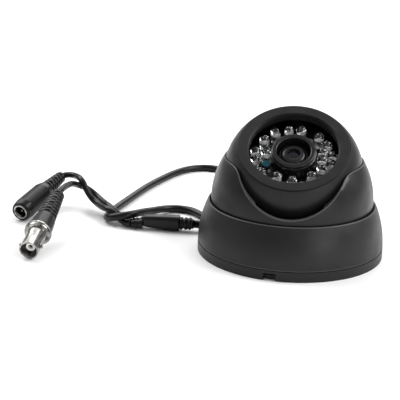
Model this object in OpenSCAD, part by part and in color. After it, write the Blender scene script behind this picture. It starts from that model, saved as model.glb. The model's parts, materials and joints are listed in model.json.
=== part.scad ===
// Dome camera on a round surface base: a tilting camera ball held under a
// turning inner dome, with a twist-on cover ring and a two-branch pigtail.
// Millimetres, +Z up, origin at the centre of the base's underside,
// the camera looking towards -Y.

/* [Base and cover ring] */
// Radius of the base plate's rim
base_r = 46.5; // [46.5:0.1:48]
// Height of the base plate's rim
rim_h = 4.9; // [4.6:0.1:4.9]
// Thickness of the base plate's floor
floor_t = 2; // [1.8:0.1:2]
// Height of the cover ring's top edge
ring_top = 25.8; // [25.8:0.1:26.4]
// Radius of the opening in the cover ring
lip_r = 41.0; // [40.9:0.1:41.1]
// Radius of the circle of mounting screws
screw_pcr = 34; // [33:0.5:35]
// Radius of each mounting screw hole
screw_r = 2.25; // [2:0.05:2.5]

/* [Inner dome] */
// Radius of the inner dome's outer surface
dome_r = 40.4; // [40.3:0.1:40.5]
// Height of the centre of that surface
dome_z = 27.2; // [27:0.1:27.4]
// Height of the inner dome's top opening
dome_top = 48.2; // [47.5:0.1:48.5]
// Radius of the window cut in its front
window_r = 27; // [26:0.5:27.5]
// Height of the centre of the window's arc
window_z = 55.5; // [55:0.5:56]

/* [Camera ball] */
// Radius of the camera ball
ball_r = 35; // [34.9:0.05:35]
// Height of the ball's centre
ball_z = 38.7; // [38.4:0.1:38.8]
// Lean of the optical axis from straight up at rest
lean = 34.4; // [20:0.1:45]
// Distance of the flat face from the ball's centre
face_d = 21.7; // [21.5:0.1:21.8]
// Inner radius of the face bezel
bezel_r = 22.1; // [22:0.1:22.3]

/* [Lens and lights] */
// Diameter of each infrared lamp
led_d = 4.8; // [4.5:0.1:4.8]
// Distance of the lamps' tips from the ball's centre
led_tip = 18.5; // [17.5:0.1:19]
// Outer radius of the lens hood
hood_r = 10.7; // [10.4:0.1:10.7]
// Inner radius of the lens hood
hood_in_r = 8.3; // [8.2:0.1:8.6]
// Radius of the lens barrel's thread
thread_r = 6; // [5.9:0.05:6]

/* [Pigtail] */
// Diameter of the main cable
main_d = 4.1; // [3.8:0.1:4.1]
// Diameter of each branch cable
branch_d = 3.4; // [3.1:0.1:3.4]
// Outer radius of the video connector's barrel
bnc_r = 4.8; // [4.75:0.01:4.85]
// Radius of the video connector's bore
bnc_bore_r = 4.07; // [4.05:0.01:4.1]
// Radius of the power socket's bore
dc_bore_r = 2.8; // [2.75:0.05:2.85]

/* [Hidden] */
eps = 0.02;
across = 0.3;        // running gap between parts that move on each other
wall = 2;

// Cover ring
seam = 0.1;
ring_z0 = rim_h + seam;
ring_flare_z = 6;
ring_flare = 3.9;
lip_under = 22.3;
lip_round = 0.9;

// Base plate
rim_in_r = 44.4;
collar_r = 42.4;
collar_t = 2;
collar_top = 19;
lug_out_r = 44.2;
lug_z0 = 9.5;
lug_h = 2;
lug_arc = 24;
tab_in_r = 42.9;
tab_z0 = 6.7;
tab_h = 2.5;
twists = [90, 210, 330];
boss_r = 5;
boss_h = 3.2;
screw_angles = [30, 150, 270];
front_notch = [6, 3.6];
front_notch_a = 261;
lead_w = 4.6;        // channel for the lead in the floor
exit_w = 6.2;        // notch for the grommet in the rim
exit_h = 4.6;
tie_y = 35.3;        // where the lead is tied in the channel
tie_w = 2.2;
seat_in_r = 24.4;
seat_r = 27.6;
seat_top = 12.5;
foam_in_r = 24.8;
foam_r = 27.2;

// Inner dome
dome_gap = 0.3;
dome_in_r = dome_r - wall;
dome_z0 = collar_top + across;
flange_z = 22;
flange_r = 41.6;
cup_z = 34;
flare_r = 5;

// Camera ball, on the optical axis
shell_in_r = ball_r - wall;
flange_d0 = 18.9;
face_bore_r = 24.4;
bezel_lip_r = 26.9;
bezel_step_r = 21.7;
bezel_step_d = 20.3;
bezel_d0 = 17.5;
bezel_lip_t = 0.4;
cable_hole_r = 5.5;
ball_screw_r = 28.5;
ball_screws_at = [90, 210, 330];
boss_out_r = 2.8;
pilot_r = 0.8;
screw_head_r = 2.2;
screw_head_d = -6.3;

// Boards and lens, on the optical axis
sensor_top = 1;
board_t = 1.6;
led_board_r = 21.4;
led_board_d = 8.2;
posts = [[7.2, 14.0], [-14.2, 4.8], [4.9, -13.6]];
post_r = 2;
post_screw_r = 1;
holder_w = 18;
holder_r = 8;
holder_top = 9.4;
barrel_r = 7;
barrel_d0 = 10.5;
barrel_top = 17.4;
glass_r = 3.2;
hood_top = 19.7;
hood_step_d = 18.1;
hood_step = 0.4;

// Lamps on the board, [x, y]
lamps = [
    [-3.4, 16.0], [2.7, 16.2], [11.7, 12.6], [-9.9, 14.2], [-14.9, 9.1],
    [15.9, 7.6], [9.6, -12.3], [0.3, -16.0], [-7.1, -13.9],
    [-18.7, 1.0], [-18.4, -4.4], [-14.6, -12.0],
    [18.7, 1.0], [18.4, -4.3], [-13.6, 0.4], [13.9, 3.0], [13.9, -2.0],
    [14.0, -7.7]
];
sensor_at = [-12.9, -7.0];

// Where the main cable leaves the base
cord_y = 46.4;
cord_z = 2.1;

// Route of the main cable, from the grommet to the splitter
main_route = [
    [0, cord_y, cord_z], [0, 52, 2.1], [0, 58, 2.1], [-1.2, 65, 2.1],
    [-4.2, 75, 2.1], [-9, 85, 2.1], [-15.5, 96, 2.1], [-23, 107, 2.1],
    [-31, 117, 2.1], [-39.5, 125.5, 2.1], [-48.5, 131.5, 2.1], [-57.5, 133.5, 2.1],
    [-64.8, 131, 2.1], [-70.8, 125.5, 2.1], [-75.8, 117, 2.1], [-79.8, 107.5, 2.1],
    [-83.6, 97, 2.1], [-87.1, 86, 2.1], [-90.1, 74, 2.1], [-92.8, 62, 2.2],
    [-95.4, 50.7, 2.2], [-97.6, 40.5, 2.2], [-98.9, 32.1, 2.1], [-99, 26, 2.5],
    [-97.6, 22.1, 3.4], [-94.9, 19.4, 4.6], [-91.2, 18.3, 5.6], [-87.3, 19, 6.3],
    [-83.8, 21.7, 6.4], [-80.6, 27.3, 5.7], [-76.4, 36.6, 3.9], [-70.5, 45.3, 2.6],
    [-63, 48.6, 2.1], [-55.7, 46.2, 2.1], [-50.2, 40.2, 2.1], [-45.8, 35, 2.1],
    [-43.1, 31.1, 2.1], [-42.4, 27.2, 2.1], [-43.4, 23.3, 2.6], [-46.5, 19.9, 3.5],
    [-51, 18, 4.2]
];

// Routes of the two branches, from connector to splitter
dc_route = [
    [-130.7, 55.3, 14.6], [-128.4, 55.6, 15.4], [-125.4, 55, 15.9], [-122, 52.7, 16.1],
    [-118.5, 47.1, 16.7], [-116.2, 43.9, 15.6], [-114.3, 42, 13.1], [-112.3, 41.3, 9.9],
    [-109.8, 40.2, 7.2], [-106.7, 37.5, 5.8], [-103.1, 32.3, 5.8], [-99.2, 27.3, 6.4],
    [-95.8, 25, 5.8], [-93.3, 23.3, 4.1], [-90.7, 21.5, 3], [-87.6, 18.9, 2.2],
    [-84, 16.2, 2.6]
];
bnc_route = [
    [-122, 11.8, 18.1], [-121.7, 15.7, 18.9], [-121.4, 22.1, 18.6], [-121.2, 30.2, 17.5],
    [-120.9, 38, 15.9], [-120, 43.3, 14.1], [-118.4, 46.1, 12.8], [-116, 47.6, 11.5],
    [-113.5, 48.1, 10], [-110.6, 47.3, 8.3], [-107.2, 44.5, 6.8], [-103.3, 39.1, 6.2],
    [-99.3, 33.2, 6.2], [-96.1, 29.4, 5.4], [-93.4, 27.7, 3.9], [-90.7, 26.4, 2.6],
    [-87.9, 24.2, 1.8], [-84, 19.8, 2.6]
];
sides = 8;

// Splitter
split_y = 18;
split_x0 = -78.5;
split_x1 = -58.7;
split_z = 4.2;
split_w = 7.6;
split_h = 8;
taper = 12;
tail_x = -84;
tail_z = 2.8;
relief_x = -51;

// Power socket, its nose on the table and its tail raised
dc_nose = [-143.7, 15.4, 5.4];
dc_yaw = 72;
dc_lift = 12.4;
dc_len = 43;
dc_body_len = 27;
dc_body_r = 6;
dc_nose_r = 5.3;
dc_tail_r = 4.4;
dc_depth = 9.5;

// Video connector, lying the same way
bnc_nose = [-124.5, -40.5, 5];
bnc_yaw = 87.3;
bnc_lift = 14;
bnc_len = 54;
bnc_barrel_len = 17;
bnc_boot_len = 13;
bnc_boot_r = 6.4;
bnc_boot_tail_r = 5.3;
bnc_depth = 11;
stud_at = 4.4;

plastic = "#2b2b2c";
satin = "#343435";
rubber = "#1d1d1e";
nickel = "#c9c7c2";

// ---- helpers ----

// A ring about Z between two radii
module pipe(r_out, r_in, z0, z1, fn = 96) {
    translate([0, 0, z0])
        difference() {
            cylinder(r = r_out, h = z1 - z0, $fn = fn);
            translate([0, 0, -1])
                cylinder(r = r_in, h = z1 - z0 + 2, $fn = fn);
        }
}

// A piece of such a ring, centred on angle a
module arc_block(r_out, r_in, z0, z1, a, span) {
    intersection() {
        pipe(r_out, r_in, z0, z1);
        rotate([0, 0, a])
            linear_extrude(height = 100)
                polygon([[0, 0],
                         [60, -60 * tan(span / 2)],
                         [60, 60 * tan(span / 2)]]);
    }
}

// Frame of the optical axis: its origin is the ball's centre
module on_axis() {
    translate([0, 0, ball_z])
        rotate([lean, 0, 0])
            children();
}

// Frame of a connector: +X runs from its nose to its tail
module lie(nose, yaw, lift) {
    translate(nose)
        rotate([0, 0, yaw])
            rotate([0, -lift, 0])
                children();
}

// A round solid along X between two places, with two radii
module spindle(x0, x1, r0, r1) {
    translate([x0, 0, 0])
        rotate([0, 90, 0])
            cylinder(r1 = r0, r2 = r1, h = x1 - x0, $fn = 48);
}

// Ribs of a moulded strain relief along X
module ribs(x0, x1, r0, r1, count) {
    pitch = (x1 - x0) / count;
    for (i = [0 : count - 1]) {
        r = r0 + (r1 - r0) * i / (count - 1);
        spindle(x0 + i * pitch, x0 + (i + 0.62) * pitch, r, r);
    }
}

// A tube swept along a route
function unit(v) = v / norm(v);
function heading(p, i) =
    unit(p[min(i + 1, len(p) - 1)] - p[max(i - 1, 0)]);
function hoop(c, t, r) =
    let (side = unit(cross(t, [0, 0, 1])), up = cross(side, t))
    [for (k = [0 : sides - 1])
        c + r * (cos(360 * k / sides) * side + sin(360 * k / sides) * up)];
module cable(route, d) {
    n = len(route);
    points = [for (i = [0 : n - 1])
        each hoop(route[i], heading(route, i), d / 2)];
    skin = [for (i = [0 : n - 2], k = [0 : sides - 1])
        let (m = (k + 1) % sides, a = i * sides, b = a + sides)
        [a + k, b + k, b + m, a + m]];
    start = [for (k = [0 : sides - 1]) k];
    finish = [for (k = [sides - 1 : -1 : 0]) (n - 1) * sides + k];
    polyhedron(points = points, faces = concat([start], skin, [finish]));
}

// ---- base ----

module base_plate() color(satin) {
    difference() {
        union() {
            cylinder(r = base_r, h = floor_t, $fn = 128);
            pipe(base_r, rim_in_r, floor_t - eps, rim_h, 128);
            pipe(collar_r, collar_r - collar_t, floor_t - eps, collar_top, 128);
            pipe(seat_r, seat_in_r, floor_t - eps, seat_top, 96);
            for (a = twists)
                arc_block(lug_out_r, collar_r - eps, lug_z0, lug_z0 + lug_h, a, lug_arc);
            for (a = screw_angles)
                rotate([0, 0, a])
                    translate([screw_pcr, 0, 0])
                        cylinder(r = boss_r, h = boss_h, $fn = 48);
        }
        for (a = screw_angles)
            rotate([0, 0, a])
                translate([screw_pcr, 0, -1])
                    cylinder(r = screw_r, h = boss_h + 2, $fn = 32);
        rotate([0, 0, front_notch_a])
            translate([rim_in_r - 0.4, -front_notch[0] / 2, -1])
                cube([4, front_notch[0], front_notch[1] + 1]);
        translate([-exit_w / 2, collar_r - collar_t - 1, -1])
            cube([exit_w, 10, exit_h + 1]);
        translate([-lead_w / 2, 12, -1])
            cube([lead_w, 30, exit_h + 1]);
        translate([-exit_w / 2, tie_y - 0.4, -1])
            cube([exit_w, tie_w + 0.8, exit_h + 1]);
    }
}

module friction_ring() color(rubber) {
    difference() {
        pipe(foam_r, foam_in_r, seat_top, seat_top + 6);
        translate([0, 0, ball_z])
            sphere(r = ball_r + across, $fn = 96);
    }
}

// A saddle in the rim's rear notch, open underneath, over the lead
module cable_grommet() color(rubber) {
    width = exit_w - 0.2;
    slot_r = main_d / 2 + 0.05;
    difference() {
        translate([-width / 2, collar_r - collar_t + 0.6, 0.5])
            cube([width, cord_y - 0.1 - collar_r + collar_t - 0.6, exit_h - 0.6]);
        translate([0, 60, cord_z])
            rotate([90, 0, 0])
                cylinder(r = slot_r, h = 30, $fn = 32);
        translate([-slot_r, 30, -1])
            cube([2 * slot_r, 30, cord_z + 1]);
    }
}

module inner_lead() color(rubber) {
    translate([0, cord_y, cord_z])
        rotate([90, 0, 0])
            cylinder(r = main_d / 2, h = 32.4, $fn = 32);
}

// A tie on the lead that stops it pulling through the grommet
module cable_tie() color("#e4e2dc") {
    translate([0, tie_y + tie_w, cord_z])
        rotate([90, 0, 0])
            difference() {
                union() {
                    cylinder(r = main_d / 2 + 0.9, h = tie_w, $fn = 32);
                    translate([-1.8, 2.2, 0])
                        cube([3.6, 2.6, tie_w]);
                }
                translate([0, 0, -1])
                    cylinder(r = main_d / 2, h = 5, $fn = 32);
                translate([-5, -5, -1])
                    cube([10, 3.05, 5]);
            }
}

// ---- cover ring ----

function ring_r(z) = let (up = max(0, z - ring_flare_z) / (ring_top - 1.3 - ring_flare_z))
    base_r - 0.1 - ring_flare * up * up;

module cover_ring() color(satin) {
    shoulder_z = ring_top - lip_round;
    shoulder_r = ring_r(shoulder_z) - 0.3;
    outer = [for (z = [ring_z0 : 2.2 : shoulder_z - 0.8]) [ring_r(z), z]];
    top = [for (a = [0 : 30 : 90])
        [shoulder_r - lip_round * (1 - cos(a)), shoulder_z + lip_round * sin(a)]];
    lip = [[lip_r + 0.4, ring_top - 0.2], [lip_r, ring_top - 0.8], [lip_r, lip_under]];
    inner = [for (z = [lip_under : -2.8 : ring_z0]) [ring_r(z) - 1.5, z]];
    rotate_extrude($fn = 128)
        polygon(concat(outer, top, lip, inner, [[ring_r(0) - 1.5, ring_z0]]));
    for (a = twists)
        arc_block(ring_r(tab_z0) - 1.2, tab_in_r, tab_z0, tab_z0 + tab_h, a, lug_arc);
}

// ---- inner dome ----

// Outline of the front window: an arc with rounded upper corners
module window_outline() {
    corner_z = dome_top - flare_r;
    reach = window_r + flare_r;
    corner_x = sqrt(reach * reach - pow(window_z - corner_z, 2));
    touch_x = corner_x * window_r / reach;
    touch_z = window_z - (window_z - corner_z) * window_r / reach;
    translate([0, window_z])
        circle(r = window_r, $fn = 128);
    for (side = [-1, 1])
        scale([side, 1])
            difference() {
                translate([touch_x, touch_z])
                    square([corner_x - touch_x, window_z - touch_z]);
                translate([corner_x, corner_z])
                    circle(r = flare_r, $fn = 64);
            }
}

module inner_dome() color(plastic) {
    difference() {
        union() {
            intersection() {
                translate([0, 0, dome_z])
                    sphere(r = dome_r, $fn = 128);
                translate([0, 0, dome_z0])
                    cylinder(r = 60, h = dome_top - dome_z0, $fn = 96);
            }
            translate([0, 0, dome_z0])
                cylinder(r = flange_r, h = flange_z - dome_z0, $fn = 128);
        }
        translate([0, 0, ball_z])
            sphere(r = ball_r + dome_gap, $fn = 128);
        intersection() {
            translate([0, 0, dome_z])
                sphere(r = dome_in_r, $fn = 128);
            translate([0, 0, dome_z0 - 1])
                cylinder(r = 60, h = cup_z - dome_z0 + 1, $fn = 96);
        }
        translate([0, 0, dome_z0 - 1])
            cylinder(r = dome_in_r - 1.2, h = 4, $fn = 128);
        rotate([90, 0, 0])
            linear_extrude(height = 60)
                window_outline();
    }
}

// ---- camera ball ----

module ball_front() color(plastic) on_axis() {
    difference() {
        union() {
            intersection() {
                difference() {
                    sphere(r = ball_r, $fn = 128);
                    sphere(r = shell_in_r, $fn = 128);
                }
                cylinder(r = 40, h = face_d, $fn = 96);
            }
            intersection() {
                sphere(r = ball_r - 1, $fn = 128);
                pipe(32, face_bore_r, flange_d0, face_d);
            }
            intersection() {
                sphere(r = ball_r - 1, $fn = 128);
                for (a = ball_screws_at)
                    rotate([0, 0, a])
                        translate([ball_screw_r, 0, 0])
                            cylinder(r = boss_out_r, h = flange_d0, $fn = 32);
            }
        }
        for (a = ball_screws_at)
            rotate([0, 0, a])
                translate([ball_screw_r, 0, -1])
                    cylinder(r = pilot_r, h = 9.2, $fn = 24);
    }
}

module ball_rear() color(plastic) {
    difference() {
        on_axis() difference() {
            union() {
                intersection() {
                    difference() {
                        sphere(r = ball_r, $fn = 128);
                        sphere(r = shell_in_r, $fn = 128);
                    }
                    translate([0, 0, -40])
                        cylinder(r = 40, h = 40, $fn = 96);
                }
                intersection() {
                    sphere(r = ball_r - 1, $fn = 128);
                    for (a = ball_screws_at)
                        rotate([0, 0, a])
                            translate([ball_screw_r, 0, -24])
                                cylinder(r = boss_out_r + 0.6, h = 24, $fn = 32);
                }
            }
            for (a = ball_screws_at)
                rotate([0, 0, a])
                    translate([ball_screw_r, 0, 0]) {
                        translate([0, 0, -30])
                            cylinder(r = screw_head_r + 0.2, h = 30 - 4.2, $fn = 32);
                        translate([0, 0, -10])
                            cylinder(r = 1.2, h = 12, $fn = 24);
                    }
        }
        cylinder(r = cable_hole_r, h = ball_z - 24, $fn = 48);
    }
}

// Pan-head screws that close the ball, with crossed slots
module ball_screws() color(nickel) on_axis() {
    for (a = ball_screws_at)
        rotate([0, 0, a])
            translate([ball_screw_r, 0, 0]) {
                difference() {
                    translate([0, 0, screw_head_d])
                        cylinder(r = screw_head_r, h = -4.2 - screw_head_d, $fn = 32);
                    for (turn = [0, 90])
                        rotate([0, 0, turn])
                            translate([-1.3, -0.25, screw_head_d - 1])
                                cube([2.6, 0.5, 2]);
                }
                translate([0, 0, -4.2 - eps])
                    cylinder(r = pilot_r, h = 11.8, $fn = 24);
            }
}

module face_bezel() color(satin) on_axis() {
    rotate_extrude($fn = 128)
        polygon([
            [bezel_step_r, bezel_d0], [face_bore_r - 0.05, bezel_d0],
            [face_bore_r - 0.05, face_d], [bezel_lip_r, face_d],
            [bezel_lip_r - 0.2, face_d + 0.25],
            [bezel_r + 0.4, face_d + bezel_lip_t],
            [bezel_r, face_d + bezel_lip_t - 0.3],
            [bezel_r, bezel_step_d], [bezel_step_r, bezel_step_d - 0.3]
        ]);
}

// ---- boards, lamps and lens ----

module led_board() color("#121713") on_axis() {
    difference() {
        translate([0, 0, led_board_d])
            cylinder(r = led_board_r, h = board_t, $fn = 96);
        translate([0, 0, led_board_d - 1])
            cylinder(r = holder_r + 0.6, h = 4, $fn = 64);
        at_posts()
            translate([0, 0, led_board_d - 1])
                cylinder(r = post_screw_r + 0.1, h = 4, $fn = 24);
    }
}

module ir_lamps() color("#e8eef2") on_axis() {
    lamp_z = led_board_d + board_t;
    r = led_d / 2;
    for (p = lamps)
        translate([p[0], p[1], 0]) {
            translate([0, 0, lamp_z])
                cylinder(r = r + 0.09, h = 1, $fn = 32);
            translate([0, 0, lamp_z + 1 - eps])
                cylinder(r = r, h = led_tip - r - lamp_z - 1 + eps, $fn = 32);
            translate([0, 0, led_tip - r])
                sphere(r = r, $fn = 32);
        }
}

module light_sensor() color("#1f6f80") on_axis() {
    translate([sensor_at[0], sensor_at[1], led_board_d + board_t]) {
        cylinder(r = 0.9, h = 5, $fn = 24);
        translate([0, 0, 4.9])
            cylinder(r = 2.15, h = 2.4, $fn = 48);
    }
}

module at_posts() {
    for (p = posts)
        translate([p[0], p[1], 0])
            children();
}

module board_posts() color("#b59a55") on_axis() {
    at_posts()
        difference() {
            translate([0, 0, sensor_top])
                cylinder(r = post_r, h = led_board_d - sensor_top, $fn = 32);
            translate([0, 0, led_board_d - 5])
                cylinder(r = post_screw_r - 0.15, h = 6, $fn = 24);
            translate([0, 0, 0])
                cylinder(r = post_screw_r - 0.15, h = 3.5, $fn = 24);
        }
}

module board_screws() color(nickel) on_axis() {
    at_posts() {
        translate([0, 0, led_board_d + board_t])
            cylinder(r = 1.7, h = 1.1, $fn = 24);
        translate([0, 0, led_board_d - 3])
            cylinder(r = post_screw_r - 0.15, h = board_t + 3.1, $fn = 24);
        translate([0, 0, sensor_top - board_t - 1.1])
            cylinder(r = 1.7, h = 1.1, $fn = 24);
        translate([0, 0, sensor_top - board_t - 0.1])
            cylinder(r = post_screw_r - 0.15, h = board_t + 2.6, $fn = 24);
    }
}

module sensor_board() color("#1c4a2c") on_axis() {
    difference() {
        translate([-16, -16, sensor_top - board_t])
            cube([32, 32, board_t]);
        at_posts()
            translate([0, 0, -3])
                cylinder(r = post_screw_r + 0.1, h = 6, $fn = 24);
    }
}

// Processor, regulator, coil and capacitors on the back of the board
module board_chips() color("#1a1a1a") on_axis() {
    back = sensor_top - board_t;
    translate([-9, -4, back - 1.2])
        cube([8, 8, 1.2]);
    translate([3, -10, back - 1.4])
        cube([5, 4, 1.4]);
    for (y = [-2, 5])
        translate([7, y, back - 3.4])
            cylinder(r = 2.4, h = 3.4, $fn = 32);
    translate([-8, 8.5, back - 2])
        cube([5, 4, 2]);
}

module image_sensor() color("#3b3f45") on_axis() {
    translate([-5, -5, sensor_top])
        cube([10, 10, 1.3]);
}

module harness_plug() color("#e6e3d8") on_axis() {
    translate([-7.5, -14, sensor_top - board_t - 5])
        cube([9, 4.4, 5]);
}

// Lead from the board's plug down to the hole under the ball, upright
module inner_harness() color(rubber) {
    plug_back = sensor_top - board_t - 5;
    plug_y = -11.8;
    start = [0, plug_y * cos(lean) - plug_back * sin(lean),
             ball_z + plug_y * sin(lean) + plug_back * cos(lean)];
    cable([start, [0, start[1] + 2.2, start[2] - 3.2],
           [0, -2, 17], [0, -0.4, 11], [0, 0, 4.6]], 2.6);
}

module lens_holder() color("#19191a") on_axis() {
    difference() {
        union() {
            translate([-holder_w / 2, -holder_w / 2, sensor_top])
                cube([holder_w, holder_w, 3]);
            translate([0, 0, sensor_top])
                cylinder(r = holder_r, h = holder_top - sensor_top, $fn = 64);
        }
        translate([0, 0, 3.4])
            cylinder(r = thread_r + 0.08, h = 8, $fn = 64);
        translate([-5.3, -5.3, 0])
            cube([10.6, 10.6, 2.9]);
        translate([-3.6, -3.6, 2.8])
            cube([7.2, 7.2, 2]);
    }
}

module ir_filter() color("#b8505e") on_axis() {
    translate([-5, -5, 2.34])
        cube([10, 10, 0.5]);
}

// Hood standing on the lamp board, with a step near its top
module lens_hood() color(plastic) on_axis() {
    foot = led_board_d + board_t;
    rotate_extrude($fn = 96)
        polygon([
            [hood_in_r + 0.4, foot], [hood_r + hood_step, foot],
            [hood_r + hood_step, hood_step_d - 0.2],
            [hood_r + hood_step - 0.2, hood_step_d], [hood_r, hood_step_d + 0.1],
            [hood_r, hood_top - 0.8], [hood_r - 0.3, hood_top - 0.25],
            [hood_r - 0.9, hood_top], [hood_in_r + 0.7, hood_top],
            [hood_in_r + 0.2, hood_top - 0.25], [hood_in_r, hood_top - 0.8]
        ]);
}

// Lens barrel with its thread below and a domed retaining ring in front
module lens_barrel() color("#161617") on_axis() {
    rotate_extrude($fn = 96)
        polygon([
            [4.2, 4.2], [thread_r, 4.2], [thread_r, barrel_d0],
            [barrel_r, barrel_d0], [barrel_r, 15.7], [barrel_r - 0.4, 15.9],
            [6.4, 15.9], [6.2, 16.2], [5.7, 16.8], [5.1, 17.15], [4.4, 17.35],
            [3.8, barrel_top], [3.45, barrel_top - 0.1], [3.25, barrel_top - 0.4],
            [glass_r, 16.6], [glass_r, 15.2], [4.2, 15.2]
        ]);
}

// Front and rear elements
module lens_glass() color("#4a3d5c") on_axis() {
    intersection() {
        translate([0, 0, 16.4 - 8])
            sphere(r = 8, $fn = 96);
        translate([0, 0, 15.3])
            cylinder(r = glass_r, h = 3, $fn = 64);
    }
    translate([0, 0, 5])
        cylinder(r = 4.2, h = 2.5, $fn = 64);
}

// ---- pigtail ----

module main_cable() color(rubber) cable(main_route, main_d);

module dc_cable() color(rubber) cable(dc_route, branch_d);

module bnc_cable() color(rubber) cable(bnc_route, branch_d);

// Moulded splitter: a tapered bar with a ribbed relief and a two-lobed tail
module cable_splitter() color(rubber) {
    hull() {
        for (y = [-1, 1], z = [-1, 1])
            translate([split_x0 + taper, split_y + y * (split_w / 2 - 1),
                       split_z + z * (split_h / 2 - 1.1)])
                rotate([0, 90, 0])
                    cylinder(r = 1, h = split_x1 - split_x0 - taper, $fn = 16);
        translate([split_x0, split_y, split_z + 0.4])
            rotate([0, 90, 0])
                cylinder(r = 3, h = 1, $fn = 16);
    }
    translate([0, split_y, split_z]) {
        spindle(split_x1 - eps, relief_x, 2.6, 2.5);
        ribs(split_x1 + 1, relief_x + 0.4, 3.4, 3.3, 3);
    }
    for (y = [-1.7, 1.7])
        translate([0, split_y + y, tail_z])
            spindle(tail_x, split_x0 + 1, 2.1, 2.5);
    for (i = [0 : 1])
        translate([tail_x + 0.8 + 2.2 * i, split_y - 1.7, tail_z - 2.5])
            cube([1.2, 3.4, 5]);
}

module dc_socket_body() color(rubber) lie(dc_nose, dc_yaw, dc_lift) {
    difference() {
        union() {
            spindle(0, 0.8, dc_nose_r - 0.6, dc_nose_r);
            spindle(0.8 - eps, 4.5, dc_nose_r, dc_body_r - 0.1);
            spindle(4.5 - eps, dc_body_len - 5, dc_body_r - 0.1, dc_body_r - 0.3);
            spindle(dc_body_len - 5 - eps, dc_body_len - 1.4, dc_body_r - 0.3, dc_tail_r + 0.4);
            spindle(dc_body_len - 1.4 - eps, dc_body_len, dc_tail_r + 0.4, dc_tail_r - 0.4);
            spindle(dc_body_len - eps, dc_len, 3.4, 2.5);
            ribs(dc_body_len + 0.8, dc_len, 4.3, 3.2, 6);
        }
        spindle(-1, dc_depth + 1, 4.05, 4.05);
    }
}

// Plated sleeve around the socket, with its bore open at the nose
module dc_socket_sleeve() color(nickel) lie(dc_nose, dc_yaw, dc_lift) {
    difference() {
        union() {
            spindle(0.1, dc_depth + 0.9, 4, 4);
            spindle(-0.05, 0.15, 4, 4);
        }
        spindle(-1, dc_depth, dc_bore_r, dc_bore_r);
        spindle(-0.1, 1.1, 3.35, dc_bore_r);
    }
}

module dc_socket_pin() color(nickel) lie(dc_nose, dc_yaw, dc_lift) {
    spindle(2.2, dc_depth, 1.05, 1.05);
    translate([2.2, 0, 0])
        sphere(r = 1.05, $fn = 24);
}

module bnc_boot() color(rubber) lie(bnc_nose, bnc_yaw, bnc_lift) {
    boot_end = bnc_barrel_len + bnc_boot_len;
    difference() {
        union() {
            spindle(bnc_barrel_len, boot_end - 4, bnc_boot_r, bnc_boot_tail_r + 0.3);
            spindle(boot_end - 4 - eps, boot_end, bnc_boot_tail_r + 0.3, bnc_boot_tail_r - 0.8);
            spindle(boot_end - eps, bnc_len, 4.1, 2.6);
            ribs(boot_end + 0.8, bnc_len, 5, 3.5, 8);
        }
        spindle(bnc_barrel_len - 1, bnc_barrel_len + 8, 4.2, 4.2);
    }
}

// Shell with its bayonet studs and double flange
module bnc_shell() color(nickel) lie(bnc_nose, bnc_yaw, bnc_lift) {
    difference() {
        union() {
            spindle(0, 9, bnc_r, bnc_r);
            spindle(9 - eps, bnc_barrel_len - 2.3, bnc_r, bnc_r + 0.25);
            spindle(bnc_barrel_len - 2.4, bnc_barrel_len - 1.6, 6.4, 6.6);
            spindle(bnc_barrel_len - 1.6 - eps, bnc_barrel_len - 1.1, 6.2, 6.2);
            spindle(bnc_barrel_len - 1.1 - eps, bnc_barrel_len, 6.9, 6.9);
            spindle(bnc_barrel_len - eps, bnc_barrel_len + 7.8, 4.15, 4.15);
        }
        spindle(-1, bnc_depth, bnc_bore_r, bnc_bore_r);
    }
    for (side = [-1, 1])
        translate([stud_at, 0, 0])
            rotate([side * 90, 0, 0])
                translate([0, 0, bnc_r - 0.3])
                    cylinder(r = 1, h = 1, $fn = 32);
}

// Insulator at the bottom of the bore, with a raised collar
module bnc_insulator() color("#f1efe8") lie(bnc_nose, bnc_yaw, bnc_lift) {
    difference() {
        union() {
            spindle(bnc_depth - 3, bnc_depth, bnc_bore_r - 0.02, bnc_bore_r - 0.02);
            spindle(3.2, bnc_depth - 2.9, 2.4, 2.4);
        }
        spindle(0, bnc_depth - 0.5, 1.15, 1.15);
    }
}

// Contact tube set back in the insulator
module bnc_contact() color("#c9a24a") lie(bnc_nose, bnc_yaw, bnc_lift) {
    difference() {
        spindle(4.6, bnc_depth - 0.5, 1.13, 1.13);
        spindle(4, bnc_depth - 2, 0.68, 0.68);
    }
}

base_plate();
friction_ring();
cable_grommet();
inner_lead();
cable_tie();
cover_ring();
inner_dome();
ball_front();
ball_rear();
ball_screws();
face_bezel();
led_board();
ir_lamps();
light_sensor();
board_posts();
board_screws();
sensor_board();
board_chips();
image_sensor();
harness_plug();
inner_harness();
lens_holder();
ir_filter();
lens_hood();
lens_barrel();
lens_glass();
main_cable();
cable_splitter();
dc_cable();
bnc_cable();
dc_socket_body();
dc_socket_sleeve();
dc_socket_pin();
bnc_boot();
bnc_shell();
bnc_insulator();
bnc_contact();
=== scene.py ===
"""Looks of the dome camera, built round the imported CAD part. Metres, row frame."""
import json
import math

import bmesh
import bpy
from mathutils import Matrix, Vector


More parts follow.
